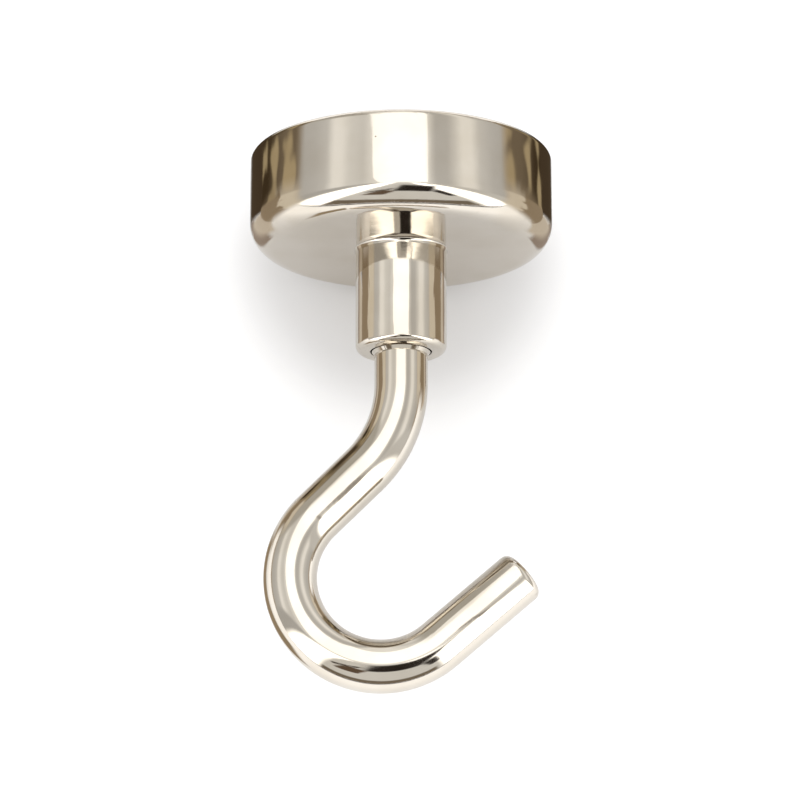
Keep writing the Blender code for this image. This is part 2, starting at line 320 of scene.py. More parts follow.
def nickel(name, marks, wear, line_size, line_depth, wave_size, wave_depth, sharp, dull):
    """Nickel plate: a warm mirror, rippled a little, with the tool marks of the metal under it.

    Marks gives the coordinates of the tool marks and wear the places that are rubbed.
    Sizes and depths are in metres. The marks are drawn about five times as wide as
    real ones so that they show. Sharp and dull are the range of the roughness.
    """
    material, tree, shader = new_material(name)
    place = add(tree, "ShaderNodeTexCoord").outputs["Object"]

    # The plate's warmth drifts a little over a few millimetres
    haze = add(tree, "ShaderNodeTexNoise", {"Vector": place, "Scale": 1.0 / HAZE_SIZE, "Detail": 3.0})
    drift = {"Value": haze.outputs["Fac"], "From Min": 0.35, "From Max": 0.7}
    warmth = add(tree, "ShaderNodeMapRange", drift, interpolation_type="SMOOTHSTEP").outputs["Result"]
    tones = {0: warmth, 6: linear("#D5CEC3"), 7: linear("#CEC6B9")}
    plate = add(tree, "ShaderNodeMix", tones, data_type="RGBA").outputs[2]

    # Pinholes in the plate: a few dots, drawn wider than real ones so that they show
    cells = add(tree, "ShaderNodeTexVoronoi", {"Vector": place, "Scale": 1.0 / PINHOLE_SPACING})
    luck = add(tree, "ShaderNodeSeparateColor", {0: cells.outputs["Color"]}).outputs[0]
    drawn = {0: luck, 1: PINHOLE_SCARCITY}
    chosen = add(tree, "ShaderNodeMath", drawn, operation="GREATER_THAN").outputs[0]
    edge = {"Value": cells.outputs["Distance"], "From Min": 0.045, "From Max": 0.025}
    dot = add(tree, "ShaderNodeMapRange", edge, interpolation_type="SMOOTHSTEP").outputs["Result"]
    pinhole = add(tree, "ShaderNodeMath", {0: chosen, 1: dot}, operation="MULTIPLY").outputs[0]
    dotted = {0: pinhole, 6: plate, 7: linear("#6B6052")}
    spotted = add(tree, "ShaderNodeMix", dotted, data_type="RGBA").outputs[2]

    # Rubbed places: fine nicks, where the plate is duller and a little greyer
    nicks = add(tree, "ShaderNodeTexNoise", {"Vector": place, "Scale": 1.0 / NICK_SIZE, "Detail": 4.0})
    cut = {"Value": nicks.outputs["Fac"], "From Min": 0.54, "From Max": 0.72}
    nick = add(tree, "ShaderNodeMapRange", cut, interpolation_type="SMOOTHSTEP").outputs["Result"]
    rubbed = add(tree, "ShaderNodeMath", {0: nick, 1: wear(tree)}, operation="MULTIPLY").outputs[0]
    greyed = {0: rubbed, 6: spotted, 7: linear("#A1978A")}
    colour = add(tree, "ShaderNodeMix", greyed, data_type="RGBA").outputs[2]

    # Relief in metres: tool marks, the plate's ripple, pinholes and nicks
    lines = add(tree, "ShaderNodeTexNoise", {"Vector": marks(tree), "Scale": 1.0 / line_size, "Detail": 3.0})
    flow = add(tree, "ShaderNodeVectorMath", {0: place, 1: (1.0, RIPPLE_FLOW, 1.0)}, operation="MULTIPLY")
    rippled = {"Vector": flow.outputs[0], "Scale": 1.0 / wave_size, "Detail": 1.5}
    waves = add(tree, "ShaderNodeTexNoise", rippled)
    marked = {0: lines.outputs["Fac"], 1: line_depth}
    relief = add(tree, "ShaderNodeMath", marked, operation="MULTIPLY").outputs[0]
    layers = ((waves.outputs["Fac"], wave_depth), (pinhole, -PINHOLE_DEPTH), (rubbed, -NICK_DEPTH))
    for height, depth in layers:
        summed = {0: height, 1: depth, 2: relief}
        relief = add(tree, "ShaderNodeMath", summed, operation="MULTIPLY_ADD").outputs[0]
    bump = add(tree, "ShaderNodeBump", {"Strength": 1.0, "Distance": 1.0, "Height": relief})

    # Faint smears of handling, and duller nicks
    smear = add(tree, "ShaderNodeTexNoise", {"Vector": place, "Scale": 1.0 / SMEAR_SIZE, "Detail": 4.0})
    soft = {"Value": smear.outputs["Fac"], "From Min": 0.3, "From Max": 0.75, "To Min": sharp, "To Max": dull}
    gloss = add(tree, "ShaderNodeMapRange", soft, interpolation_type="SMOOTHSTEP").outputs["Result"]
    dulled = {0: rubbed, 1: NICK_DULLING, 2: gloss}
    roughness = add(tree, "ShaderNodeMath", dulled, operation="MULTIPLY_ADD").outputs[0]

    shader.inputs["Metallic"].default_value = 1.0
    tree.links.new(colour, shader.inputs["Base Color"])
    tree.links.new(roughness, shader.inputs["Roughness"])
    tree.links.new(bump.outputs["Normal"], shader.inputs["Normal"])
    return material


def cast_resin():
    """Cured casting resin: a grey, faintly cloudy fill with a soft shine and a few bubbles."""
    material, tree, shader = new_material("cured_grey_resin")
    place = add(tree, "ShaderNodeTexCoord").outputs["Object"]
    cloudiness = {"Vector": place, "Scale": 1.0 / RESIN_CLOUD_SIZE, "Detail": 3.0}
    cloud = add(tree, "ShaderNodeTexNoise", cloudiness)
    drift = {"Value": cloud.outputs["Fac"], "From Min": 0.35, "From Max": 0.65}
    cloudy = add(tree, "ShaderNodeMapRange", drift, interpolation_type="SMOOTHSTEP").outputs["Result"]
    tones = {0: cloudy, 6: linear("#A8A1A3"), 7: linear("#B7B0AF")}
    fill = add(tree, "ShaderNodeMix", tones, data_type="RGBA").outputs[2]
    cells = add(tree, "ShaderNodeTexVoronoi", {"Vector": place, "Scale": 1.0 / RESIN_BUBBLE_SPACING})
    edge = {"Value": cells.outputs["Distance"], "From Min": 0.12, "From Max": 0.05, "To Max": 0.5}
    bubble = add(tree, "ShaderNodeMapRange", edge, interpolation_type="SMOOTHSTEP").outputs["Result"]
    bubbled = {0: bubble, 6: fill, 7: linear("#7D7577")}
    colour = add(tree, "ShaderNodeMix", bubbled, data_type="RGBA").outputs[2]
    swelling = {0: cloud.outputs["Fac"], 1: RESIN_RELIEF}
    risen = add(tree, "ShaderNodeMath", swelling, operation="MULTIPLY").outputs[0]
    sunk = {0: bubble, 1: -RESIN_RELIEF, 2: risen}
    relief = add(tree, "ShaderNodeMath", sunk, operation="MULTIPLY_ADD").outputs[0]
    bump = add(tree, "ShaderNodeBump", {"Strength": 1.0, "Distance": 1.0, "Height": relief})
    shader.inputs["Roughness"].default_value = 0.38
    shader.inputs["IOR"].default_value = 1.55
    tree.links.new(colour, shader.inputs["Base Color"])
    tree.links.new(bump.outputs["Normal"], shader.inputs["Normal"])
    return material


# Shapes


def arc(centre_r, centre_y, radius, start_deg, end_deg, steps):
    """Points along an arc in (radius, y)."""
    points = []
    for step in range(steps + 1):
        angle = math.radians(start_deg + (end_deg - start_deg) * step / steps)
        points.append((centre_r + radius * math.cos(angle), centre_y + radius * math.sin(angle)))
    return points


def turned(name, profile, sides, closed, shares=None):
    """A profile turned about the Y axis. An open profile starts and ends on the axis."""
    mesh = bpy.data.meshes.new(name)
    shape = bmesh.new()
    rings = []
    for radius, y in profile:
        if radius < 1e-9:
            rings.append([shape.verts.new((0.0, y, 0.0))])
            continue
        ring = []
        for side in range(sides):
            angle = math.tau * side / sides
            ring.append(shape.verts.new((radius * math.sin(angle), y, radius * math.cos(angle))))
        rings.append(ring)
    pairs = list(zip(rings, rings[1:]))
    if closed:
        pairs.append((rings[-1], rings[0]))
    for first, second in pairs:
        for side in range(sides):
            following = (side + 1) % sides
            corners = [first[side % len(first)], first[following % len(first)]]
            corners += [second[following % len(second)], second[side % len(second)]]
            unique = list(dict.fromkeys(corners))
            if len(unique) > 2:
                shape.faces.new(unique)
    bmesh.ops.recalc_face_normals(shape, faces=shape.faces)
    shape.to_mesh(mesh)
    shape.free()
    if shares:
        values = []
        for ring, share in zip(rings, shares):
            values += [share] * len(ring)
        attribute = mesh.attributes.new("thread_share", "FLOAT", "POINT")
        attribute.data.foreach_set("value", values)
    return new_piece(name, mesh)


def new_piece(name, mesh):
    """An object at the origin that holds the mesh."""
    piece = bpy.data.objects.new(name, mesh)
    bpy.context.scene.collection.objects.link(piece)
    return piece


def smooth(piece):
    """Smooth shading that keeps the real edges."""
    piece.data.shade_smooth()
    piece.data.set_sharp_from_angle(angle=math.radians(SHARP_DEG))


def new_tree(name, inputs):
    """A Geometry Nodes tree with a mesh in, a mesh out and named inputs."""
    tree = bpy.data.node_groups.new(name, "GeometryNodeTree")
    tree.interface.new_socket("Geometry", in_out="INPUT", socket_type="NodeSocketGeometry")
    for label, kind in inputs:
        tree.interface.new_socket(label, in_out="INPUT", socket_type=kind)
    tree.interface.new_socket("Geometry", in_out="OUTPUT", socket_type="NodeSocketGeometry")
    return tree


def close_tree(tree, geometry, material):
    """Realize Instances and Set Material, which end every tree."""
    real = add(tree, "GeometryNodeRealizeInstances", {"Geometry": geometry}).outputs["Geometry"]
    painted = add(tree, "GeometryNodeSetMaterial", {"Geometry": real, "Material": material})
    add(tree, "NodeGroupOutput", {"Geometry": painted.outputs["Geometry"]})


def run_tree(piece, tree, values):
    """Apply a tree to a piece with the given inputs, and leave a plain mesh."""
    modifier = piece.modifiers.new(tree.name, "NODES")
    modifier.node_group = tree
    for item in tree.interface.items_tree:
        if item.in_out == "INPUT" and item.name in values:
            modifier[item.identifier] = values[item.name]
    bpy.context.view_layer.update()
    depsgraph = bpy.context.evaluated_depsgraph_get()
    mesh = bpy.data.meshes.new_from_object(piece.evaluated_get(depsgraph))
    piece.modifiers.clear()
    piece.data = mesh
    mesh.name = piece.name
    smooth(piece)


def bent_wire_tree():
    """Sweeps a round wire along a centre line, thinner where the line's tip share is under 1."""
    sizes = [("Wire Radius", "NodeSocketFloat"), ("Sides", "NodeSocketInt")]
    tree = new_tree("bent wire", sizes + [("Material", "NodeSocketMaterial")])
    given = add(tree, "NodeGroupInput").outputs
    line = add(tree, "GeometryNodeMeshToCurve", {0: given["Geometry"]}).outputs[0]
    along = add(tree, "GeometryNodeCaptureAttribute", {"Geometry": line})
    along.capture_items.new("FLOAT", "Along")
    tree.links.new(add(tree, "GeometryNodeSplineParameter").outputs["Length"], along.inputs[1])
    sizes = {"Resolution": given["Sides"], "Radius": given["Wire Radius"]}
    circle = add(tree, "GeometryNodeCurvePrimitiveCircle", sizes).outputs["Curve"]
    around = add(tree, "GeometryNodeCaptureAttribute", {"Geometry": circle})
    around.capture_items.new("FLOAT", "Around")
    tree.links.new(add(tree, "GeometryNodeSplineParameter").outputs["Factor"], around.inputs[1])
    share = add(tree, "GeometryNodeInputNamedAttribute", {"Name": "tip_share"}).outputs[0]
    swept = {"Curve": along.outputs["Geometry"], "Profile Curve": around.outputs["Geometry"]}
    tube = add(tree, "GeometryNodeCurveToMesh", {**swept, "Scale": share, "Fill Caps": True})

    # Coordinates for the drawing lines: the wire unrolled, and squeezed along its length
    turn = add(tree, "ShaderNodeMath", {0: around.outputs[1], 1: math.tau}, operation="MULTIPLY").outputs[0]
    cosine = add(tree, "ShaderNodeMath", {0: turn}, operation="COSINE").outputs[0]
    sine = add(tree, "ShaderNodeMath", {0: turn}, operation="SINE").outputs[0]
    unit = add(tree, "ShaderNodeCombineXYZ", {"X": cosine, "Y": sine}).outputs[0]
    rolled = add(tree, "ShaderNodeVectorMath", {0: unit}, operation="SCALE")
    tree.links.new(given["Wire Radius"], rolled.inputs["Scale"])
    squeezed = {0: along.outputs[1], 1: LINE_STRETCH}
    reach = add(tree, "ShaderNodeMath", squeezed, operation="DIVIDE").outputs[0]
    depth = add(tree, "ShaderNodeCombineXYZ", {"Z": reach}).outputs[0]
    lines = add(tree, "ShaderNodeVectorMath", {0: rolled.outputs[0], 1: depth}, operation="ADD").outputs[0]
    ruled = add(
        tree,
        "GeometryNodeStoreNamedAttribute",
        {"Geometry": tube.outputs["Mesh"], "Name": "wire_lines"},
        data_type="FLOAT_VECTOR",
        domain="POINT",
    )
    tree.links.new(lines, ruled.inputs["Value"])
    measured = add(
        tree,
        "GeometryNodeStoreNamedAttribute",
        {"Geometry": ruled.outputs["Geometry"], "Name": "wire_along"},
        data_type="FLOAT",
        domain="POINT",
    )
    tree.links.new(along.outputs[1], measured.inputs["Value"])
    close_tree(tree, measured.outputs["Geometry"], given["Material"])
    return tree


def cut_thread_tree():
    """Cuts a right-hand V thread into a turned surface. A negative depth cuts outwards."""
    sizes = [("Pitch", "NodeSocketFloat"), ("Depth", "NodeSocketFloat")]
    tree = new_tree("cut thread", sizes + [("Material", "NodeSocketMaterial")])
    given = add(tree, "NodeGroupInput").outputs
    place = add(tree, "GeometryNodeInputPosition").outputs[0]
    parts = add(tree, "ShaderNodeSeparateXYZ", {0: place}).outputs
    angle = add(tree, "ShaderNodeMath", {0: parts["X"], 1: parts["Z"]}, operation="ARCTAN2").outputs[0]
    turns = add(tree, "ShaderNodeMath", {0: parts["Y"], 1: given["Pitch"]}, operation="DIVIDE").outputs[0]
    wound = {0: angle, 1: -1.0 / math.tau, 2: turns}
    phase = add(tree, "ShaderNodeMath", wound, operation="MULTIPLY_ADD").outputs[0]
    half = add(tree, "ShaderNodeMath", {0: phase}, operation="FRACT").outputs[0]
    folded = add(tree, "ShaderNodeMath", {0: half, 1: 2.0, 2: -1.0}, operation="MULTIPLY_ADD").outputs[0]
    slope = add(tree, "ShaderNodeMath", {0: folded}, operation="ABSOLUTE").outputs[0]

    # Flats an eighth of the pitch wide on the crests and a quarter of it in the roots
    groove = add(tree, "ShaderNodeMapRange", {"Value": slope, "From Min": 0.125, "From Max": 0.75})
    share = add(tree, "GeometryNodeInputNamedAttribute", {"Name": "thread_share"}).outputs[0]
    kept = {0: groove.outputs["Result"], 1: share}
    cut = add(tree, "ShaderNodeMath", kept, operation="MULTIPLY").outputs[0]
    depth = add(tree, "ShaderNodeMath", {0: cut, 1: given["Depth"]}, operation="MULTIPLY").outputs[0]
    inwards = add(tree, "ShaderNodeMath", {0: depth, 1: -1.0}, operation="MULTIPLY").outputs[0]
    across = add(tree, "ShaderNodeCombineXYZ", {"X": parts["X"], "Z": parts["Z"]}).outputs[0]
    outward = add(tree, "ShaderNodeVectorMath", {0: across}, operation="NORMALIZE").outputs[0]
    offset = add(tree, "ShaderNodeVectorMath", {0: outward}, operation="SCALE")
    tree.links.new(inwards, offset.inputs["Scale"])
    moved = {"Geometry": given["Geometry"], "Offset": offset.outputs[0]}
    threaded = add(tree, "GeometryNodeSetPosition", moved).outputs["Geometry"]
    close_tree(tree, threaded, given["Material"])
    return tree


# Pieces


def finish_piece(piece, body, node):
    """Put a piece in place of its CAD node."""
    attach(piece, body)
    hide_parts(node)


def make_pot(material):
    """The drawn pot: rounded rim, round back edge and the counterbored hole for the bushing."""
    rim = POT_RIM_ROUND
    fillet = POT_BACK_FILLET
    profile = arc(POT_RADIUS - rim, -rim, rim, 90.0, 0.0, ROUND_STEPS)
    profile += arc(POT_RADIUS - fillet, POT_BACK_Y + fillet, fillet, 0.0, -90.0, FILLET_STEPS)
    hole = SPIGOT_RADIUS + HOLE_GAP
    counterbore = RIVET_RADIUS + HOLE_GAP
    seat_y = RIVET_UNDER_Y - HOLE_GAP
    profile += [
        (hole, POT_BACK_Y),
        (hole, seat_y),
        (counterbore, seat_y),
        (counterbore, POT_FLOOR_Y),
        (CAVITY_RADIUS, POT_FLOOR_Y),
        (CAVITY_RADIUS, -POT_RIM_CHAMFER),
        (CAVITY_RADIUS + POT_RIM_CHAMFER, 0.0),
    ]
    pot = turned("nickel_pot", profile, POT_SIDES, True)
    pot.data.materials.append(material)
    smooth(pot)
    finish_piece(pot, "pot", "steel_cup")


def make_magnet(material):
    """The sintered disc, with its tumbled edges."""
    edge = MAGNET_EDGE_ROUND
    inner = MAGNET_RADIUS - edge
    profile = [(0.0, 0.0), (inner * 0.5, 0.0)]
    profile += arc(inner, -edge, edge, 90.0, 0.0, ROUND_STEPS)
    profile += arc(inner, MAGNET_BACK_Y + edge, edge, 0.0, -90.0, ROUND_STEPS)
    profile += [(0.0, MAGNET_BACK_Y)]
    magnet = turned("magnet_plate", profile, POT_SIDES, False)
    magnet.data.materials.append(material)
    smooth(magnet)
    finish_piece(magnet, "pot", "magnet_disc")


def make_resin(material):
    """The cured ring, drawn up a little against the magnet and the pot."""
    width = RESIN_RADIUS - RESIN_INNER_RADIUS
    profile = []
    for step in range(RESIN_STEPS + 1):
        share = step / RESIN_STEPS
        dip = RESIN_DIP * math.sin(math.pi * share)
        profile.append((RESIN_INNER_RADIUS + width * share, RESIN_TOP_Y - dip))
    profile += [(RESIN_RADIUS, MAGNET_BACK_Y), (RESIN_INNER_RADIUS, MAGNET_BACK_Y)]
    ring = turned("resin_fill", profile, POT_SIDES, True)
    ring.data.materials.append(material)
    smooth(ring)
    finish_piece(ring, "pot", "resin_ring")


def flared_root():
    """The hollow flare at the collar's root, from the pot's back to the straight collar."""
    length = 0.0
    rise = 0.0
    for radius, start_deg, end_deg in COLLAR_FLARES:
        length += radius * (math.sin(math.radians(start_deg)) - math.sin(math.radians(end_deg)))
        rise += radius * (math.cos(math.radians(end_deg)) - math.cos(math.radians(start_deg)))
    points = [(COLLAR_RADIUS + rise, COLLAR_ROOT_Y)]
    for radius, start_deg, end_deg in COLLAR_FLARES:
        start_r, start_y = points[-1]
        centre_r = start_r + radius * math.cos(math.radians(start_deg))
        centre_y = start_y - radius * math.sin(math.radians(start_deg))
        points += arc(centre_r, centre_y, radius, 180.0 - start_deg, 180.0 - end_deg, ROUND_STEPS)[1:]
    return points


def make_bushing(tree, material):
    """The turned collar, flared a little at its root, with a riveted spigot and a threaded bore."""
    end = COLLAR_END_ROUND
    profile = [
        (RIVET_RADIUS, RIVET_TOP_Y),
        (RIVET_RADIUS, RIVET_UNDER_Y),
        (SPIGOT_RADIUS, RIVET_UNDER_Y),
        (SPIGOT_RADIUS, COLLAR_ROOT_Y),
    ]
    profile += flared_root()
    profile += arc(COLLAR_RADIUS - end, MOUTH_Y + end, end, 0.0, -90.0, ROUND_STEPS)
    profile += [
        (MOUTH_RADIUS + MOUTH_CHAMFER, MOUTH_Y),
        (MOUTH_RADIUS, MOUTH_Y + MOUTH_CHAMFER),
        (MOUTH_RADIUS, MOUTH_Y + MOUTH_LIP),
    ]
    shares = [0.0] * len(profile)
    start_y = MOUTH_Y + MOUTH_LIP + (BORE_RADIUS - MOUTH_RADIUS)
    rows = round((RIVET_TOP_Y - start_y) / THREAD_ROW)
    for row in range(rows + 1):
        y = start_y + (RIVET_TOP_Y - start_y) * row / rows
        profile.append((BORE_RADIUS, y))
        reach = min(y - start_y, RIVET_TOP_Y - y) / BORE_THREAD_FADE
        shares.append(min(1.0, max(0.0, reach)))
    bushing = turned("riveted_bushing", profile, COLLAR_SIDES, True, shares)
    run_tree(bushing, tree, {"Pitch": THREAD_PITCH, "Depth": -BORE_THREAD_DEPTH, "Material": material})
    finish_piece(bushing, "pot", "threaded_bushing")


def make_thread(tree, material):
    """The rolled thread on the wire's end: chamfered tip, and a run-out into the plain wire."""
    profile = [(0.0, THREAD_TOP_Y), (THREAD_RADIUS - THREAD_CHAMFER, THREAD_TOP_Y)]
    shares = [0.0, 0.0]
    start_y = THREAD_TOP_Y - THREAD_CHAMFER
    end_y = THREAD_END_Y + (THREAD_RADIUS - WIRE_RADIUS)
    rows = round((start_y - end_y) / THREAD_ROW)
    for row in range(rows + 1):
        y = start_y + (end_y - start_y) * row / rows
        profile.append((THREAD_RADIUS, y))
        reach = (y - end_y) / THREAD_PITCH
        shares.append(min(1.0, max(0.0, reach)))
    profile += [(WIRE_RADIUS, THREAD_END_Y), (0.0, THREAD_END_Y)]
    shares += [0.0, 0.0]
    thread = turned("rolled_thread", profile, COLLAR_SIDES, False, shares)
    run_tree(thread, tree, {"Pitch": THREAD_PITCH, "Depth": THREAD_DEPTH, "Material": material})
    finish_piece(thread, "thread", "hook_thread")


def bend(centre, radius, start_deg, sweep_deg):
    """Points along a bend in (x, y), without its first point."""
    count = math.ceil(abs(sweep_deg) / BEND_STEP_DEG)
    points = []
    for step in range(1, count + 1):
        angle = math.radians(start_deg + sweep_deg * step / count)
        points.append((centre[0] + radius * math.cos(angle), centre[1] + radius * math.sin(angle)))
    return points


def wire_length():
    """The centre line's length, from its start in the collar's mouth to the tip's end."""
    bends = NECK_BEND_RADIUS * math.radians(NECK_LEAN_DEG) + BOWL_RADIUS * math.radians(BOWL_SWEEP_DEG)
    entry = WIRE_TOP_Y + JOIN_REACH - MOUTH_Y
    return entry + NECK_LENGTH + SLOPE_LENGTH + TIP_LENGTH + bends


def centre_line():
    """The wire's centre line as (x, y) points, each with its share of the full thickness."""
    bend_y = MOUTH_Y - NECK_LENGTH
    line = [(0.0, WIRE_TOP_Y + JOIN_REACH), (0.0, MOUTH_Y), (0.0, MOUTH_Y - SHOULDER_DROP), (0.0, bend_y)]
    line += bend((-NECK_BEND_RADIUS, bend_y), NECK_BEND_RADIUS, 0.0, -NECK_LEAN_DEG)
    lean = math.radians(NECK_LEAN_DEG)
    neck_x, neck_y = line[-1]
    slope_x = neck_x - SLOPE_LENGTH * math.sin(lean)
    slope_y = neck_y - SLOPE_LENGTH * math.cos(lean)
    line.append((slope_x, slope_y))
    bowl = (slope_x + BOWL_RADIUS * math.cos(lean), slope_y - BOWL_RADIUS * math.sin(lean))
    start_deg = 180.0 - NECK_LEAN_DEG
    line += bend(bowl, BOWL_RADIUS, start_deg, BOWL_SWEEP_DEG)
    shares = [1.0] * len(line)
    shares[0] = shares[1] = SHOULDER_RADIUS / WIRE_RADIUS  # the thread's run-out fills the mouth

    tip = math.radians(start_deg + BOWL_SWEEP_DEG + 90.0)
    end_x, end_y = line[-1]
    for step in range(ROUND_STEPS + 1):
        turn = math.radians(90.0 * step / ROUND_STEPS)
        reach = TIP_LENGTH - TIP_ROUND + TIP_ROUND * math.sin(turn)
        line.append((end_x + reach * math.cos(tip), end_y + reach * math.sin(tip)))
        shares.append((WIRE_RADIUS - TIP_ROUND + TIP_ROUND * math.cos(turn)) / WIRE_RADIUS)
    return line, shares


def make_wire(tree, material):
    """The bent hook itself."""
    line, shares = centre_line()
    mesh = bpy.data.meshes.new("bent_hook")
    edges = [(index, index + 1) for index in range(len(line) - 1)]
    mesh.from_pydata([(x, y, 0.0) for x, y in line], edges, [])
    mesh.attributes.new("tip_share", "FLOAT", "POINT").data.foreach_set("value", shares)
    hook = new_piece("bent_hook", mesh)
    run_tree(hook, tree, {"Wire Radius": WIRE_RADIUS, "Sides": WIRE_SIDES, "Material": material})
    finish_piece(hook, "hook", "hook_wire")


# Studio


def make_camera():
    """The photograph's place and tilt, with the hook's axis upright in the picture."""
    data = bpy.data.cameras.new("camera")
    data.lens = CAMERA_LENS
    data.sensor_width = CAMERA_SENSOR
    data.clip_start = 0.01
    data.clip_end = 10.0
    camera = bpy.data.objects.new("camera", data)
    bpy.context.scene.collection.objects.link(camera)
    camera.location = CAMERA_PLACE
    forward = (CAMERA_AIM - CAMERA_PLACE).normalized()
    right = forward.cross(Vector((0.0, 1.0, 0.0))).normalized()
    up = right.cross(forward)
    camera.rotation_mode = "QUATERNION"
    camera.rotation_quaternion = Matrix((right, up, -forward)).transposed().to_quaternion()
    bpy.context.scene.camera = camera


def plain(tree, hex_colour):
    """The colour of a plain card, which needs no nodes."""
    return linear(hex_colour)


def card_material(name, paint, hex_colour):
    """A glowing card that fades out at its edges. Paint gives its colour."""
    material = bpy.data.materials.new(name)
    material.use_nodes = True
    tree = material.node_tree
    tree.nodes.clear()
    spread = add(tree, "ShaderNodeSeparateXYZ", {0: add(tree, "ShaderNodeTexCoord").outputs["UV"]}).outputs
    shown = 1.0
    for side in ("X", "Y"):
        inwards = add(tree, "ShaderNodeMath", {0: spread[side], 1: 0.5}, operation="PINGPONG").outputs[0]
        fade = {"Value": inwards, "From Max": CARD_FADE, "To Max": shown}
        shown = add(tree, "ShaderNodeMapRange", fade, interpolation_type="SMOOTHSTEP").outputs["Result"]
    light = add(tree, "ShaderNodeEmission", {"Color": paint(tree, hex_colour), "Strength": 1.0}).outputs[0]
    clear = add(tree, "ShaderNodeBsdfTransparent").outputs[0]
    faded = add(tree, "ShaderNodeMixShader", {0: shown, 1: clear, 2: light})
    add(tree, "ShaderNodeOutputMaterial", {"Surface": faded.outputs[0]})
    return material


def painted_glints_and_shade(tree, hex_colour):
    """Painted glints and shade: brown with golden streaks, and darker towards the table beside the pot."""
    place = add(tree, "ShaderNodeTexCoord").outputs["Object"]
    parts = add(tree, "ShaderNodeSeparateXYZ", {0: place}).outputs
    # Painted shade: darker low down, towards the table
    drop = {"Value": parts["Z"], "From Min": 4.0 * MM, "From Max": -6.0 * MM}
    low = add(tree, "ShaderNodeMapRange", drop, interpolation_type="SMOOTHSTEP").outputs["Result"]
    tones = {0: low, 6: linear(hex_colour), 7: linear("#453827")}
    brown = add(tree, "ShaderNodeMix", tones, data_type="RGBA").outputs[2]
    # Painted glints: golden streaks in patches
    patches = add(tree, "ShaderNodeTexNoise", {"Vector": place, "Scale": 1.0 / (6.0 * MM), "Detail": 1.0})
    cut = {"Value": patches.outputs["Fac"], "From Min": 0.48, "From Max": 0.58, "To Max": 0.75}
    streak = add(tree, "ShaderNodeMapRange", cut, interpolation_type="SMOOTHSTEP").outputs["Result"]
    glint_tones = {0: streak, 6: brown, 7: linear("#CEBB95")}
    golden = add(tree, "ShaderNodeMix", glint_tones, data_type="RGBA").outputs[2]

    # The front end is a painted reflection, pale above and brown below, with a ragged line between
    wander = add(tree, "ShaderNodeTexNoise", {"Vector": place, "Scale": 1.0 / (3.0 * MM), "Detail": 1.0})
    ragged = {0: wander.outputs["Fac"], 1: 10.0 * MM, 2: parts["Z"]}
    height = add(tree, "ShaderNodeMath", ragged, operation="MULTIPLY_ADD").outputs[0]
    fall = {"Value": height, "From Min": 7.5 * MM, "From Max": 5.5 * MM}
    below = add(tree, "ShaderNodeMapRange", fall, interpolation_type="SMOOTHSTEP").outputs["Result"]
    ends = {0: below, 6: linear("#EBE1CF"), 7: linear("#A3927B")}
    front_end = add(tree, "ShaderNodeMix", ends, data_type="RGBA").outputs[2]
    along = {"Value": parts["Y"], "From Min": 2.0 * MM, "From Max": -1.0 * MM}
    ahead = add(tree, "ShaderNodeMapRange", along, interpolation_type="SMOOTHSTEP").outputs["Result"]
    return add(tree, "ShaderNodeMix", {0: ahead, 6: golden, 7: front_end}, data_type="RGBA").outputs[2]


def make_card(name, corners, material):
    """A card that shows in the metal and nowhere else."""
    mesh = bpy.data.meshes.new(name)
    mesh.from_pydata([tuple(Vector(corner) * MM) for corner in corners], [], [(0, 1, 2, 3)])
    spread = mesh.uv_layers.new(name="spread")
    for loop, corner in zip(spread.data, ((0, 0), (1, 0), (1, 1), (0, 1))):
        loop.uv = corner
    mesh.materials.append(material)
    card = new_piece(name, mesh)
    card.visible_camera = False
    card.visible_diffuse = False
    card.visible_shadow = False
    card.visible_transmission = False
    card.visible_volume_scatter = False


def flat(near, far, front, back, height):
    """The corners of a level card, in x from near to far and in y from front to back."""
    return [(near, front, height), (far, front, height), (far, back, height), (near, back, height)]


def make_cards():
    """The dark and pale cards that give bright metal its outlines, in millimetres: glowing painted
    reflections, seen only in the metal.
    """
    black = card_material("black_card", plain, "#2E2723")
    dark = card_material("dark_grey_card", plain, "#4A413A")
    brown = card_material("dark_brown_card", plain, "#6A5848")
    foot_shade = card_material("brown_card", plain, "#4C3F30")
    pale = card_material("pale_brown_card", plain, "#A4968A")
    light = card_material("light_brown_card", plain, "#DBD0C0")
    warm = card_material("warm_brown_card", plain, "#A8977F")
    grey = card_material("grey_card", plain, "#A8A29B")

    # The camera over the hook, and the dark edges of the slot it looks through
    make_card("camera_front", [(-58, -248, 284), (140, -248, 284), (140, -66, 262), (-14, -56, 262)], black)
    make_card("left_slot", [(-30, -175, 272), (-190, -290, 272), (-170, -245, 272), (-20, -130, 272)], dark)
    make_card("right_slot", [(130, -140, 272), (320, -360, 272), (270, -400, 272), (108, -205, 272)], black)
    make_card("left_flap", [(-78, -170, 272), (-250, -400, 272), (-95, -400, 272), (-20, -215, 272)], brown)
    make_card("seam", [(60, -22, 272), (158, -102, 272), (150, -86, 272), (52, -6, 272)], grey)

    # The table's dark front edge, and a small brown card left of the hook's bowl, just over the floor
    table = FLOOR_Z / MM + 0.05
    make_card("table_edge", flat(-400, 400, -480, -150, table), black)
    # Painted reflection: the small card darkens the left outline of the hook's bowl in the metal
    outline_card = [(-12, -42, table + 0.2), (-13.5, -38, -1.5), (-13.5, -21, -1.5), (-12, -20, table + 0.2)]
    make_card("left_outline_card", outline_card, warm)

    # Low boards beside the pot with painted glints and shade, and painted shade on the table at their feet
    # and beside the pot
    boards = card_material("board_of_painted_reflections", painted_glints_and_shade, "#80725F")
    for side, name in ((-1, "left"), (1, "right")):
        x = 24 * side
        board = [(x, -17, table - 5), (x, 26, table - 5), (x, 26, 11), (x, -17, 11)]
        make_card(name + "_board", board, boards)
        # Painted shade lying on the table, seen only in the metal: dark at the boards' feet, paler beside the
        # pot
        make_card(name + "_foot", flat(9.6 * side, 36 * side, -4, 16, table), foot_shade)
        make_card(name + "_verge", flat(11.5 * side, 17.5 * side, -13, -1, table), pale)
        make_card(name + "_apron", flat(13.3 * side, 38 * side, -16, -2, table + 0.03), light)


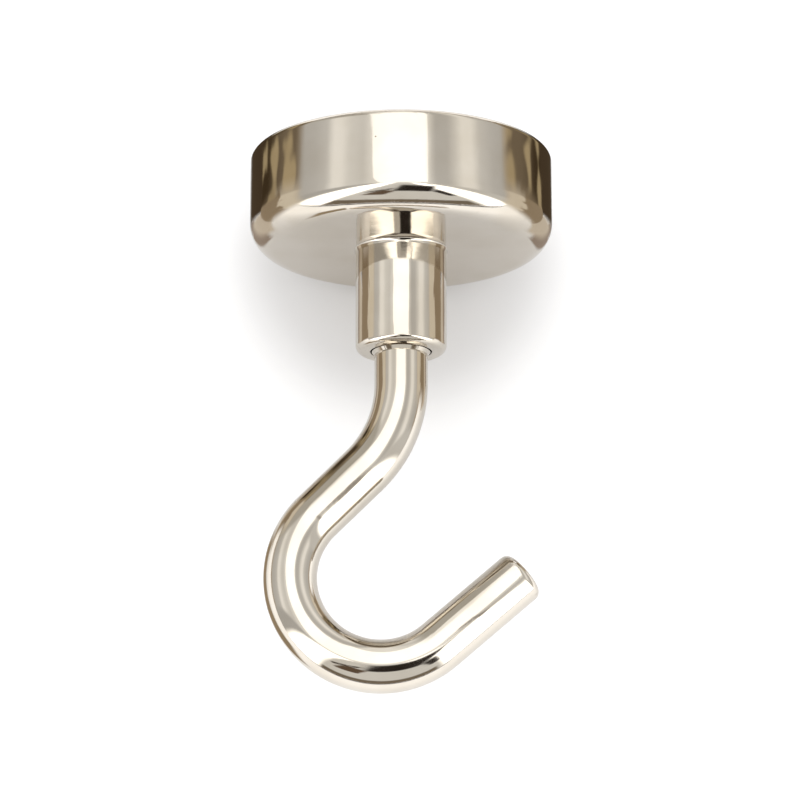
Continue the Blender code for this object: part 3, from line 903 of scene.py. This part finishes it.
def make_floor():
    """A white table that keeps the soft shadow and stays white in the picture and in the metal, with painted
    shade round the pot.
    """
    material, tree, shader = new_material("white_table")
    shader.inputs["Base Color"].default_value = linear("#EAEAEB")
    shader.inputs["Roughness"].default_value = 0.9
    shader.inputs["Specular IOR Level"].default_value = 0.0
    rays = add(tree, "ShaderNodeLightPath").outputs
    place = add(tree, "ShaderNodeTexCoord").outputs["Object"]
    # Painted shade: the glow is least near the pot and grows with the distance from it.
    under_pot = (0.0, POT_BACK_Y / 2, FLOOR_Z)
    away = add(tree, "ShaderNodeVectorMath", {0: place, 1: under_pot}, operation="DISTANCE").outputs["Value"]
    lift = 0.0
    for ray, (near, far, least, most) in TABLE_GLOW_AND_SHADE.items():
        spread = {"Value": away, "From Min": near, "From Max": far, "To Min": least, "To Max": most}
        glow = add(tree, "ShaderNodeMapRange", spread, interpolation_type="SMOOTHSTEP").outputs["Result"]
        seen = {0: rays[ray], 1: glow, 2: lift}
        lift = add(tree, "ShaderNodeMath", seen, operation="MULTIPLY_ADD").outputs[0]
    shader.inputs["Emission Color"].default_value = (1.0, 1.0, 1.0, 1.0)
    tree.links.new(lift, shader.inputs["Emission Strength"])
    half = FLOOR_SIZE / 2
    mesh = bpy.data.meshes.new("table")
    corners = [(-half, -half, FLOOR_Z), (half, -half, FLOOR_Z), (half, half, FLOOR_Z), (-half, half, FLOOR_Z)]
    mesh.from_pydata(corners, [], [(0, 1, 2, 3)])
    mesh.materials.append(material)
    new_piece("table", mesh)


def panel_ramp(tree, angle, panels):
    """The brightness of the room by an angle from -180 to 180 degrees, as a colour."""
    place = add(tree, "ShaderNodeMath", {0: angle, 1: 1.0 / math.tau, 2: 0.5}, operation="MULTIPLY_ADD")
    ramp = add(tree, "ShaderNodeValToRGB", {"Fac": place.outputs[0]})
    stops = ramp.color_ramp.elements
    while len(stops) > 1:
        stops.remove(stops[-1])
    for index, (degrees, level) in enumerate(panels):
        position = degrees / 360.0 + 0.5
        stop = stops[0] if index == 0 else stops.new(position)
        stop.position = position
        share = level / ROOM_STRENGTH
        stop.color = (*(share * tint for tint in ROOM_TINT), 1.0)
    return ramp.outputs["Color"]


def make_world():
    """White to the camera, soft light from the back to matt surfaces, and a room to metal."""
    world = bpy.data.worlds.new("studio")
    world.use_nodes = True
    bpy.context.scene.world = world
    tree = world.node_tree
    tree.nodes.clear()
    direction = add(tree, "ShaderNodeTexCoord").outputs["Generated"]
    parts = add(tree, "ShaderNodeSeparateXYZ", {0: direction}).outputs
    around = add(tree, "ShaderNodeMath", {0: parts["Y"], 1: parts["X"]}, operation="ARCTAN2").outputs[0]
    lean = add(tree, "ShaderNodeMath", {0: parts["X"], 1: parts["Z"]}, operation="ARCTAN2").outputs[0]
    walls = panel_ramp(tree, lean, ROOM_PANELS)
    front = panel_ramp(tree, around, FRONT_PANELS)

    # Where each stretch of the room begins and ends, from 0 to 1
    off_front = add(tree, "ShaderNodeMath", {0: around, 1: math.radians(90.0)}, operation="ADD").outputs[0]
    aside = add(tree, "ShaderNodeMath", {0: off_front}, operation="ABSOLUTE").outputs[0]
    limits = {
        "low": (parts["Z"], 0.16, 0.02),
        "front": (parts["Y"], -0.06, -0.14),
        "back": (parts["Y"], 0.50, 0.60),
        "left": (around, math.radians(106.0), math.radians(116.0)),
        "edge": (parts["Z"], 0.26, 0.21),
        "middle": (aside, math.radians(40.0), math.radians(37.0)),
    }
    share = {}
    for name, (value, start, end) in limits.items():
        sockets = {"Value": value, "From Min": start, "From Max": end}
        stretch = add(tree, "ShaderNodeMapRange", sockets, interpolation_type="SMOOTHSTEP")
        share[name] = stretch.outputs["Result"]
    corner = {0: share["back"], 1: share["left"]}
    back_left = add(tree, "ShaderNodeMath", corner, operation="MULTIPLY").outputs[0]
    ahead = {0: share["edge"], 1: share["middle"]}
    dark_line = add(tree, "ShaderNodeMath", ahead, operation="MULTIPLY").outputs[0]

    # Dimmer near the table and at the back left, and a dark line low in the front
    room = walls
    for where, colour in (
        (share["low"], linear("#766E63")),
        (back_left, linear("#787671")),
        (share["front"], front),
        (dark_line, linear("#4E473E")),
    ):
        room = add(tree, "ShaderNodeMix", {0: where, 6: room, 7: colour}, data_type="RGBA").outputs[2]

    rays = add(tree, "ShaderNodeLightPath").outputs
    panels = add(tree, "ShaderNodeBackground", {"Color": room, "Strength": ROOM_STRENGTH}).outputs[0]
    tilted = {0: parts["Y"], 1: EVEN_TILT, 2: EVEN_LIGHT}
    level = add(tree, "ShaderNodeMath", tilted, operation="MULTIPLY_ADD").outputs[0]
    even = add(tree, "ShaderNodeBackground", {"Color": linear("#FFFFFF"), "Strength": level}).outputs[0]
    white = add(tree, "ShaderNodeBackground", {"Color": linear("#FFFFFF"), "Strength": 1.0}).outputs[0]
    lit = add(tree, "ShaderNodeMixShader", {0: rays["Is Diffuse Ray"], 1: panels, 2: even}).outputs[0]
    seen = add(tree, "ShaderNodeMixShader", {0: rays["Is Camera Ray"], 1: lit, 2: white}).outputs[0]
    add(tree, "ShaderNodeOutputWorld", {"Surface": seen})


def make_softbox():
    """The one big lamp overhead, a little behind the hook."""
    data = bpy.data.lights.new("softbox", "AREA")
    data.shape = "RECTANGLE"
    data.size = SOFTBOX_WIDTH
    data.size_y = SOFTBOX_LENGTH
    data.energy = SOFTBOX_RADIANCE * math.pi * SOFTBOX_WIDTH * SOFTBOX_LENGTH
    lamp = bpy.data.objects.new("softbox", data)
    bpy.context.scene.collection.objects.link(lamp)
    lamp.location = SOFTBOX_PLACE
    lamp.rotation_mode = "QUATERNION"
    lamp.rotation_quaternion = (-SOFTBOX_PLACE).to_track_quat("-Z", "Y")
    lamp.visible_camera = False
    lamp.visible_diffuse = False


def make_hook():
    """All the pieces of the hook, each with the finish of its own making."""
    pot_nickel = nickel(
        "bright_nickel_on_drawn_steel", lathe_marks, rim_wear,
        line_size=0.16 * MM, line_depth=0.0005 * MM, wave_size=1.3 * MM, wave_depth=0.008 * MM,
        sharp=0.06, dull=0.11,
    )
    collar_nickel = nickel(
        "bright_nickel_on_turned_steel", lathe_marks, collar_wear,
        line_size=0.14 * MM, line_depth=0.0006 * MM, wave_size=0.7 * MM, wave_depth=0.009 * MM,
        sharp=0.04, dull=0.09,
    )
    wire_nickel = nickel(
        "bright_nickel_on_drawn_wire", draw_marks, wire_wear,
        line_size=0.22 * MM, line_depth=0.0012 * MM, wave_size=1.1 * MM, wave_depth=0.006 * MM,
        sharp=0.05, dull=0.10,
    )
    magnet_nickel = nickel(
        "satin_nickel_on_ground_magnet", ground_marks, face_wear,
        line_size=0.2 * MM, line_depth=0.0015 * MM, wave_size=0.5 * MM, wave_depth=0.003 * MM,
        sharp=0.2, dull=0.3,
    )
    make_pot(pot_nickel)
    make_magnet(magnet_nickel)
    make_resin(cast_resin())
    threads = cut_thread_tree()
    make_bushing(threads, collar_nickel)
    make_thread(threads, wire_nickel)
    make_wire(bent_wire_tree(), wire_nickel)


def make_studio():
    """Floor, room, lamp and the cards that the metal mirrors."""
    make_floor()
    make_world()
    make_softbox()
    make_cards()


make_camera()
make_hook()
make_studio()
bpy.context.scene.view_settings.view_transform = "Standard"
